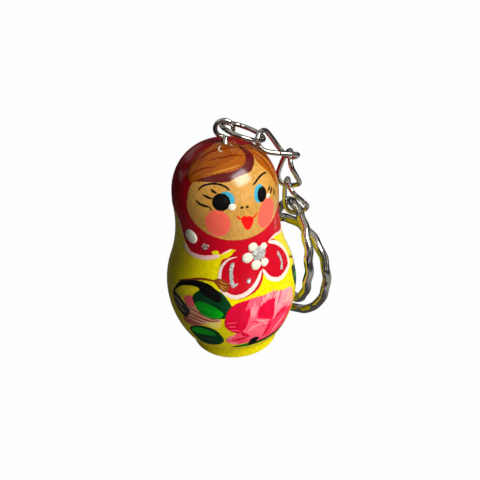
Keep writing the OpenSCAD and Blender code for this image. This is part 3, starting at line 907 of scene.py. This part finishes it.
class FOB_OT_leaves(bpy.types.Operator):
    """Paints the stem, the bud and the leaves beside the rose"""
    bl_idname = "fob.leaves"
    bl_label = "Leaves"

    def execute(self, context):
        box = PaintBox("leaves")
        black, dark = stroke_paint("black"), stroke_paint("dark_green", "black", fade=0.35)
        bright = stroke_paint("bright_green", "dark_green", fade=0.45)
        brown, maroon = stroke_paint("brown", "maroon"), stroke_paint("maroon", "dusk")
        dusk, beige = stroke_paint("dusk", "beige"), stroke_paint("beige", "yellow")
        wiped_paint = [(-42, 16.8), (-34, 17.6), (-26, 16.4), (-19, 15.7), (-12, 15.5), (-12, 14.4),
                       (-20, 13.6), (-31, 13.2), (-41, 13.4), (-45, 14.6)]
        box.blob(wiped_paint, dusk, 0.04)
        thin_paint = [(-25, 13.9), (-18, 14.6), (-12, 14.7), (-13, 13), (-16, 12.7), (-21, 13)]
        box.blob(thin_paint, beige, 0.06)
        low_smear = [(-50, 13.2), (-40, 13.6), (-29, 13.3), (-33, 12.6), (-42, 11.6), (-49, 11.8)]
        box.blob(low_smear, stroke_paint("brown", "dusk"), 0.05)
        pink_dab = [(-46, 18.9), (-40, 20), (-35, 19.4), (-35, 18), (-39, 17.2), (-44, 17.4)]
        box.blob(pink_dab, stroke_paint("pink", "dusk"), 0.06)
        side_leaf = [(-63, 18.3), (-57, 18.6), (-49, 17.9), (-43, 16.9), (-40, 15.6), (-46, 13.5),
                     (-54, 14.1), (-60, 15.6)]
        box.blob(side_leaf, stroke_paint("grey", "black"), 0.07)
        box.ribbon([(-61, 17.4), (-54, 17.1), (-48, 16.3)], 0.5, stroke_paint("beige", "grey"), 0.09)
        box.ribbon([(-59, 16), (-52, 15.4), (-46, 14.9)], 0.35, stroke_paint("beige", "grey"), 0.09)
        box.ribbon([(-56, 21.7), (-42, 23.3), (-29, 24.3), (-15, 24.3)], 0.5, brown, 0.05, "blunt")
        dry_patch = [(-60, 18.8), (-55, 20.5), (-45, 22), (-36, 22.5), (-30, 22.1), (-32, 20.5),
                     (-37, 19.6), (-44, 18.8), (-53, 18.4)]
        box.blob(dry_patch, stroke_paint("yellow", "olive"), 0.05)
        upper_leaf = [(-37, 19.8), (-32, 21.5), (-23, 22.6), (-15, 22.5), (-8, 21.5), (-3, 19.7),
                      (-1, 18), (-4, 16.5), (-9, 15.8), (-15, 15.6), (-23, 15.6), (-30, 16.7),
                      (-34, 18.1)]
        box.blob(upper_leaf, dark, 0.08)
        rim_outer = [(-64, 17.6), (-60, 19.7), (-54, 21.7), (-44, 23), (-33, 23.7), (-22, 23.5),
                     (-15, 22.6), (-10, 21.5), (-10, 20.4), (-12, 19.8)]
        rim_inner = [(-64, 17.6), (-58, 19.4), (-51, 21.1), (-41, 22.1), (-32, 22.3), (-29, 21.4),
                     (-24, 20.8), (-18, 20.3), (-15, 19.8), (-12, 19.8)]
        box.between(rim_outer, rim_inner, black, 0.1)
        upper_light = [(-34, 18.4), (-32, 19.2), (-24, 19.3), (-16, 18.6), (-10, 17.5), (-9, 16.8),
                       (-12, 15.9), (-20, 15.8), (-26, 16.1), (-32, 17.3)]
        box.blob(upper_light, bright, 0.1)
        for line, width, paint in (([(-44, 16.9), (-34, 16.6), (-24, 15.7), (-12, 15.2)], 0.4, maroon),
                                   ([(-42, 15.4), (-31, 15.2), (-21, 14.8), (-13, 14.9)], 0.35, brown),
                                   ([(-45, 14.2), (-35, 14.3), (-26, 14.2)], 0.4, maroon),
                                   ([(-40, 16.1), (-30, 15.9), (-20, 15.3)], 0.3, dusk),
                                   ([(-49, 12.4), (-38, 13), (-27, 13.4)], 0.4, maroon)):
            box.ribbon(line, width, paint, 0.09)
        lower_leaf = [(-45, 10.2), (-38, 11.8), (-28, 12.8), (-18, 12.3), (-13, 10.7), (-11, 8.6),
                      (-16, 7.1), (-27, 6), (-37, 6.1), (-43, 8)]
        box.blob(lower_leaf, dark, 0.08)
        lower_light = [(-42, 10.5), (-34, 11.8), (-25, 11.9), (-18, 11.4), (-17, 10.5), (-22, 10.1),
                       (-31, 9.8), (-40, 9.5)]
        box.blob(lower_light, bright, 0.1)
        box.ribbon([(-38, 8.6), (-28, 8.4), (-17, 8.9)], 0.5, stroke_paint("grey", "dark_green"), 0.1)
        bud = [(-17, 24.4), (-11, 24.9), (-5, 24.2), (-2, 23.1), (-6, 22.1), (-10, 22.5), (-14, 23.5)]
        box.blob(bud, brown, 0.1)
        for line in ([(-12, 24.5), (-8, 24), (-4, 23.6)], [(-12, 23.9), (-9, 23.4), (-4, 23)],
                     [(-11, 23.3), (-8, 22.8), (-6, 22.5)]):
            box.ribbon(line, 0.22, stroke_paint("hair_pale", "hair"), 0.12)
        box.ribbon([(-13, 24.2), (-9, 23.7), (-3, 23.3)], 0.2, stroke_paint("maroon"), 0.12)
        far_leaf = [(72, 20.5), (80, 20), (84, 17.5), (79, 15.2), (73, 15.8), (70, 18)]
        box.blob(far_leaf, dark, 0.06)
        box.ribbon([(70, 18), (76, 18.2), (83, 17.6)], 1.0, bright, 0.08)
        box.ribbon([(76, 22.6), (81, 22), (86, 21)], 0.6, brown, 0.06)
        box.finish()
        return {"FINISHED"}


class FOB_OT_rose(bpy.types.Operator):
    """Paints the rose, petal by petal, with streaks of wet paint"""
    bl_idname = "fob.rose"
    bl_label = "Rose"

    def execute(self, context):
        box = PaintBox("rose")
        petal, pale = stroke_paint("petal", "pink"), stroke_paint("pale", "petal", fade=0.4)
        hot = stroke_paint("hot", "crimson")
        whole_rose = [(10, 19.5), (27, 19.8), (40, 19.1), (62, 16.9), (65, 12.4), (58, 9.2), (49, 7.2),
                      (38, 6.8), (28, 6.8), (14, 7.8), (8, 11), (9, 15)]
        box.blob(whole_rose, stroke_paint("pink", "hot"), 0.045)
        low_petal = [(-9, 9.1), (-2, 10.6), (6, 11.9), (12, 10.4), (22, 9), (17, 7.6), (8, 7.2), (-2, 7),
                     (-7, 7.9)]
        box.blob(low_petal, stroke_paint("petal", "hot"), 0.06)
        middle_petal = [(13, 14.6), (22, 14.4), (34, 13.2), (32, 10.2), (29, 7.3), (19, 8.6), (10, 9.8),
                        (6, 11.8), (10, 13.4)]
        box.blob(middle_petal, petal, 0.07)
        right_petal = [(34, 13.2), (40, 13.6), (49, 13.7), (61, 13.1), (57, 9.4), (49, 7.4), (38, 7.2),
                       (30, 7.1), (30, 9.7)]
        box.blob(right_petal, stroke_paint("pink", "hot", fade=0.3), 0.08)
        deep_petal = [(-8, 15.2), (-5, 17.7), (2, 19.3), (14, 19.6), (14, 16.9), (10, 13.3), (4, 11.4),
                      (-3, 11.9), (-8, 13.5)]
        box.blob(deep_petal, stroke_paint("crimson", "hot"), 0.09)
        upper_petal = [(14, 19.6), (21, 19.9), (28, 19.6), (24, 17.7), (20, 15.2), (15, 14.1), (12, 14.4),
                       (12, 16.9)]
        box.blob(upper_petal, petal, 0.1)
        lit_petal = [(38, 19.1), (50, 18.4), (62, 17), (65, 12.4), (49, 13.3), (40, 13.1), (35, 12.8),
                     (36, 16.1)]
        box.blob(lit_petal, pale, 0.1)
        heart = [(26, 19.4), (34, 19.5), (40, 19.1), (37, 16.6), (35, 13.1), (27, 13.8), (20, 15.2),
                 (22, 17.4)]
        box.blob(heart, hot, 0.11)
        self.streaks(box, "petal", "hot", 0.3, [(-8, 14.3), (-3, 14.6), (2, 14.6)],
                     [(-6, 13.4), (-3, 13.5), (1, 13.3)], [(-6, 12.5), (0, 12.3), (5, 11.9)])
        self.streaks(box, "hot", "crimson", 0.9, [(11, 18.9), (12, 16.6), (9, 14)],
                     [(33, 13), (30, 10.5), (26, 8.1)], [(36, 12.4), (42, 13.5), (55, 13.5)],
                     [(5, 11.7), (8, 10.6), (13, 9.6)], [(-3, 8.9), (3, 9.1), (11, 9.6)])
        self.streaks(box, "hot", "pink", 0.5, [(12, 14.2), (20, 13.7), (28, 11.4)],
                     [(46, 13.6), (39, 12.3), (33, 10.4), (27, 8.1)], [(0, 8.1), (6, 8.1), (12, 8.4)])
        self.streaks(box, "petal", "pale", 0.8, [(14, 15.3), (16, 17.2), (19, 19)],
                     [(35, 7.9), (42, 9.8), (52, 11.6)], [(11, 11.3), (16, 12.5), (22, 12.7)],
                     [(37, 14.8), (42, 16.1), (46, 16.9)])
        self.streaks(box, "pink", "petal", 0.75, [(10, 17.4), (14, 19), (16, 20)],
                     [(16, 17.9), (19, 19.2), (21, 20.2)], [(19, 17.9), (23, 19.2), (25, 20.1)],
                     [(40, 16.3), (44, 17.7), (47, 19)], [(40, 13.7), (47, 14.5), (53, 14.6)])
        self.streaks(box, "pale", "petal", 0.6, [(16, 15), (18, 16.6), (21, 18.1)],
                     [(18, 14.5), (24, 13.5), (31, 13.1)], [(20, 13.6), (25, 12.5), (30, 12.5)],
                     [(23, 17.6), (26, 18.7), (28, 20)], [(27, 18), (29, 18.9), (31, 19.9)],
                     [(30, 18.3), (33, 19.2), (35, 20.1)], [(33, 18.2), (36, 19.2), (39, 20.1)],
                     [(36, 18.1), (39, 18.8), (42, 19.6)], [(45, 15.8), (49, 16.9), (53, 18.1)],
                     [(-8, 8.9), (-4, 10.1), (0, 10.6)], [(-6, 8.3), (-3, 7.6), (2, 7.7)])
        self.streaks(box, "beige", "pale", 0.8, [(50, 14.6), (55, 16), (59, 17.3)],
                     [(56, 13.6), (59, 14.9), (63, 16.9)], [(61, 12.6), (62, 14), (63, 15.7)],
                     [(29, 18.9), (31, 19.5), (33, 20)])
        box.finish()
        return {"FINISHED"}

    def streaks(self, box, key, second, width, *lines):
        """Thin strokes of one paint over the petals."""
        for line in lines:
            box.ribbon(line, width, stroke_paint(key, second), 0.13)


class FOB_OT_border(bpy.types.Operator):
    """Paints the dark strokes under the rose"""
    bl_idname = "fob.border"
    bl_label = "Border"

    def execute(self, context):
        box = PaintBox("border")
        border_top = [(-6, 5.9), (4, 6.6), (14, 6.9), (24, 6.8), (36, 7.1), (46, 7.3), (53, 7.9), (57, 8.4)]
        border_low = [(-6, 5.9), (4, 5.8), (14, 5.8), (26, 5.9), (38, 6.1), (47, 6.4), (53, 7.2), (57, 8.4)]
        box.between(border_top, border_low, stroke_paint("dark_green", "black"), 0.1)
        seed = [(12, 6.3), (14, 8.3), (18, 8.8), (22, 8.3), (19, 6.7), (15, 6)]
        box.blob(seed, stroke_paint("black"), 0.14)
        box.ribbon([(2, 6.3), (8, 6.5), (12, 6.6)], 0.5, stroke_paint("bright_green", "dark_green"), 0.12)
        box.finish()
        return {"FINISHED"}


def wire_copy(node, round_off=0, grow=0.0):
    """A copy of a wire piece with its facets merged, and rounded off after growing by some millimetres."""
    deselect()
    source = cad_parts[node]
    piece = source.copy()
    piece.data = source.data.copy()
    piece.parent = None
    piece.matrix_world = source.matrix_world.copy()
    for key in list(piece.keys()):
        del piece[key]
    bpy.context.scene.collection.objects.link(piece)
    piece.name = node + "_wire"
    piece.data.materials.clear()
    bpy.context.view_layer.objects.active = piece
    piece.select_set(True)
    bpy.ops.object.transform_apply(location=True, rotation=True, scale=True)
    edit_all(piece)
    bpy.ops.mesh.remove_doubles(threshold=WIRE_WELD * MM)
    bpy.ops.mesh.normals_make_consistent(inside=False)
    if round_off:
        bpy.ops.mesh.tris_convert_to_quads(face_threshold=math.radians(60),
                                           shape_threshold=math.radians(180))
        bpy.ops.transform.shrink_fatten(value=grow * MM)
    bpy.ops.object.mode_set(mode="OBJECT")
    if round_off:
        smooth = piece.modifiers.new("smooth", "SUBSURF")
        smooth.levels = round_off
        bpy.ops.object.modifier_apply(modifier=smooth.name)
    bpy.ops.object.shade_smooth_by_angle(angle=math.radians(50))
    piece.data.materials.append(nickel_finish())
    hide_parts(node)
    return piece


class FOB_OT_hardware(bpy.types.Operator):
    """Plates the screw eye in the crown and the jump ring through it"""
    bl_idname = "fob.hardware"
    bl_label = "Screw eye and jump ring"

    def execute(self, context):
        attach(wire_copy("screw_eye"), "doll")
        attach(wire_copy("jump_ring"), "jump_ring")
        return {"FINISHED"}


class FOB_OT_chain(bpy.types.Operator):
    """Rounds off and plates the three twisted curb links"""
    bl_idname = "fob.chain"
    bl_label = "Curb links"

    def execute(self, context):
        for node in ("chain_link_1", "chain_link_2", "chain_link_3"):
            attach(wire_copy(node, round_off=2, grow=0.025), node)
        return {"FINISHED"}


class FOB_OT_ring(bpy.types.Operator):
    """Rounds off and plates the sprung split ring"""
    bl_idname = "fob.ring"
    bl_label = "Split ring"

    def execute(self, context):
        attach(wire_copy("split_ring", round_off=2, grow=0.045), "split_ring")
        return {"FINISHED"}


# Each lamp: the way to it, its distance, width and height in metres, and whether reflections show it
LAMPS = {
    "window": ((0.553, -0.447, 0.703), 0.4, 0.23, 0.2, True),
    "front": ((0.62, -0.78, 0.02), 0.5, 0.3, 0.2, False),
    "back": ((0.1, 0.95, 0.3), 0.5, 0.4, 0.3, False),
}
LAMP_AIM = 30 * MM

# What rays see: grey tones of the floor by distance, as shares of its reach, which are painted shade and
# light in reflections:
# dark near the doll for its shadow and its own reflection, bright in a ring beyond; how far each kind of
# ray sees them in place of the floor, and grey tones of the room by height
FLOOR_REACH = 0.4
FLOOR_TONES = ((0.0, 0.06), (0.06, 0.1), (0.085, 0.4), (0.14, 0.5), (0.2, 0.05), (0.5, 0.06), (1.0, 0.02))
FLOOR_GLOW = (("Is Camera Ray", 0.985), ("Is Glossy Ray", 0.95), ("Is Transmission Ray", 0.96))
ROOM_TONES = ((0.0, 0.12), (0.05, 0.06), (0.12, 0.015), (0.4, 0.03), (0.55, 0.16), (0.8, 0.4))
ROOM_PANEL = (0.7, 0.7, 0.7)
WHITE = (1.0, 1.0, 1.0)


class FOB_OT_stage(bpy.types.Operator):
    """Sets the floor, the lamps, the white surroundings and the camera"""
    bl_idname = "fob.stage"
    bl_label = "Stage"

    def execute(self, context):
        values = context.scene.fob_stage
        self.floor(values)
        for name, (way, distance, width, height, mirrored) in LAMPS.items():
            lamp = self.lamp(name + "_lamp", Vector(way) * distance, width, height, getattr(values, name))
            lamp.visible_glossy = mirrored
        self.surroundings(context)
        self.camera(context, values)
        context.scene.view_settings.view_transform = "Standard"
        return {"FINISHED"}

    def floor(self, values):
        deselect()
        bpy.ops.mesh.primitive_plane_add(size=6)
        floor = bpy.context.object
        floor.name = "floor"
        material, nodes, links, shader = blank_material("pale_floor")
        shader.inputs["Base Color"].default_value = (*values.floor, 1)
        shader.inputs["Roughness"].default_value = 0.8
        path = nodes.new("ShaderNodeLightPath")
        place = nodes.new("ShaderNodeTexCoord")
        far = nodes.new("ShaderNodeVectorMath")
        far.operation = "LENGTH"
        links.new(place.outputs["Object"], far.inputs[0])
        # Painted reflections: mirrors see the floor dark near the doll as its shadow, bright in a ring
        # beyond, and fainter towards -X
        reach = ranged(nodes, links, far.outputs["Value"], 0, 1, 0, FLOOR_REACH)
        side = one_axis(nodes, links, place.outputs["Object"], "X")
        right = ranged(nodes, links, side, 0.1, 1, -20 * MM, 10 * MM)
        painted_floor_reflection = mixed(nodes, links, (0.01, 0.01, 0.01), self.tones(nodes, links, reach, FLOOR_TONES), right)
        glow = nodes.new("ShaderNodeEmission")
        glow.inputs["Strength"].default_value = 1.0
        links.new(mixed(nodes, links, painted_floor_reflection, WHITE, path.outputs["Is Camera Ray"]), glow.inputs["Color"])
        share = self.seen(nodes, links, path)
        mix = nodes.new("ShaderNodeMixShader")
        links.new(share, mix.inputs[0])
        links.new(shader.outputs[0], mix.inputs[1])
        links.new(glow.outputs[0], mix.inputs[2])
        links.new(mix.outputs[0], nodes["Material Output"].inputs["Surface"])
        floor.data.materials.append(material)

    def seen(self, nodes, links, path):
        """How far a ray sees the glow in place of the floor: from the camera, a mirror or glass."""
        seen = [ranged(nodes, links, path.outputs[label], 0, share) for label, share in FLOOR_GLOW]
        most = combined(nodes, links, "MAXIMUM", seen[0], seen[1])
        return combined(nodes, links, "MAXIMUM", most, seen[2])

    def tones(self, nodes, links, value, bands):
        """Grey bands along a value, such as height or distance."""
        ramp = nodes.new("ShaderNodeValToRGB")
        first, last = ramp.color_ramp.elements
        first.color = (bands[0][1],) * 3 + (1,)
        last.position = bands[-1][0]
        last.color = (bands[-1][1],) * 3 + (1,)
        for spot, tone in bands[1:-1]:
            ramp.color_ramp.elements.new(spot).color = (tone,) * 3 + (1,)
        links.new(value, ramp.inputs[0])
        return ramp.outputs[0]

    def lamp(self, name, place, width, height, power):
        data = bpy.data.lights.new(name, "AREA")
        data.shape = "RECTANGLE"
        data.size, data.size_y = width, height
        data.energy = power
        lamp = bpy.data.objects.new(name, data)
        bpy.context.scene.collection.objects.link(lamp)
        lamp.location = place + Vector((0, 0, LAMP_AIM))
        lamp.rotation_euler = place.to_track_quat("Z", "Y").to_euler()
        return lamp

    def surroundings(self, context):
        world = bpy.data.worlds.new("studio")
        context.scene.world = world
        world.use_nodes = True
        nodes, links = world.node_tree.nodes, world.node_tree.links
        room = nodes["Background"]
        path = nodes.new("ShaderNodeLightPath")
        place = nodes.new("ShaderNodeTexCoord")
        height = one_axis(nodes, links, place.outputs["Generated"], "Z")
        cloud = noise(nodes, links, place.outputs["Generated"], 3.2, 0.0)
        panels = ranged(nodes, links, cloud, 0, 1, 0.58, 0.64)
        walls = self.tones(nodes, links, height, ROOM_TONES)
        room_tone = mixed(nodes, links, walls, ROOM_PANEL, panels)
        mirror = mixed(nodes, links, (0.02, 0.02, 0.021), room_tone, path.outputs["Is Glossy Ray"])
        links.new(mixed(nodes, links, mirror, WHITE, path.outputs["Is Camera Ray"]), room.inputs["Color"])
        room.inputs["Strength"].default_value = 1.0

    def camera(self, context, values):
        data = bpy.data.cameras.new("camera")
        data.lens = values.lens
        data.sensor_width = 36
        data.shift_x, data.shift_y = values.shift_across, values.shift_up
        data.clip_start = 0.005
        camera = bpy.data.objects.new("camera", data)
        context.scene.collection.objects.link(camera)
        e, roll = values.elevation, values.roll
        back = Vector((0, -math.cos(e), math.sin(e)))
        level, up = Vector((1, 0, 0)), Vector((0, math.sin(e), math.cos(e)))
        right = math.cos(roll) * level - math.sin(roll) * up
        top = math.sin(roll) * level + math.cos(roll) * up
        middle = Vector((0, 0, DOLL_TOP[2] / 2))
        turn = Matrix((right, top, back)).transposed().to_4x4()
        camera.matrix_world = Matrix.Translation(middle + back * values.distance) @ turn
        context.scene.camera = camera


PIECES = (FOB_OT_body, FOB_OT_scarf, FOB_OT_face, FOB_OT_hair, FOB_OT_eyes, FOB_OT_bow, FOB_OT_leaves,
          FOB_OT_rose, FOB_OT_border, FOB_OT_hardware, FOB_OT_chain, FOB_OT_ring, FOB_OT_stage)


class FOB_PT_panel(bpy.types.Panel):
    """Lists the fob's pieces and values"""
    bl_idname = "FOB_PT_panel"
    bl_label = "Matryoshka key fob"
    bl_space_type = "VIEW_3D"
    bl_region_type = "UI"
    bl_category = "Key fob"

    def draw(self, context):
        for piece in PIECES:
            self.layout.operator(piece.bl_idname)
        for group in (context.scene.fob_sizes, context.scene.fob_colours, context.scene.fob_stage):
            for key in type(group).__annotations__:
                self.layout.prop(group, key)


CLASSES = (DollSizes, PaintColours, StageValues, *PIECES, FOB_PT_panel)


def register():
    for item in CLASSES:
        bpy.utils.register_class(item)
    bpy.types.Scene.fob_sizes = PointerProperty(type=DollSizes)
    bpy.types.Scene.fob_colours = PointerProperty(type=PaintColours)
    bpy.types.Scene.fob_stage = PointerProperty(type=StageValues)


def unregister():
    for key in ("fob_sizes", "fob_colours", "fob_stage"):
        delattr(bpy.types.Scene, key)
    for item in reversed(CLASSES):
        bpy.utils.unregister_class(item)


def main():
    register()
    for piece in PIECES:
        getattr(bpy.ops.fob, piece.bl_idname.split(".")[1])()


if __name__ == "__main__":
    main()
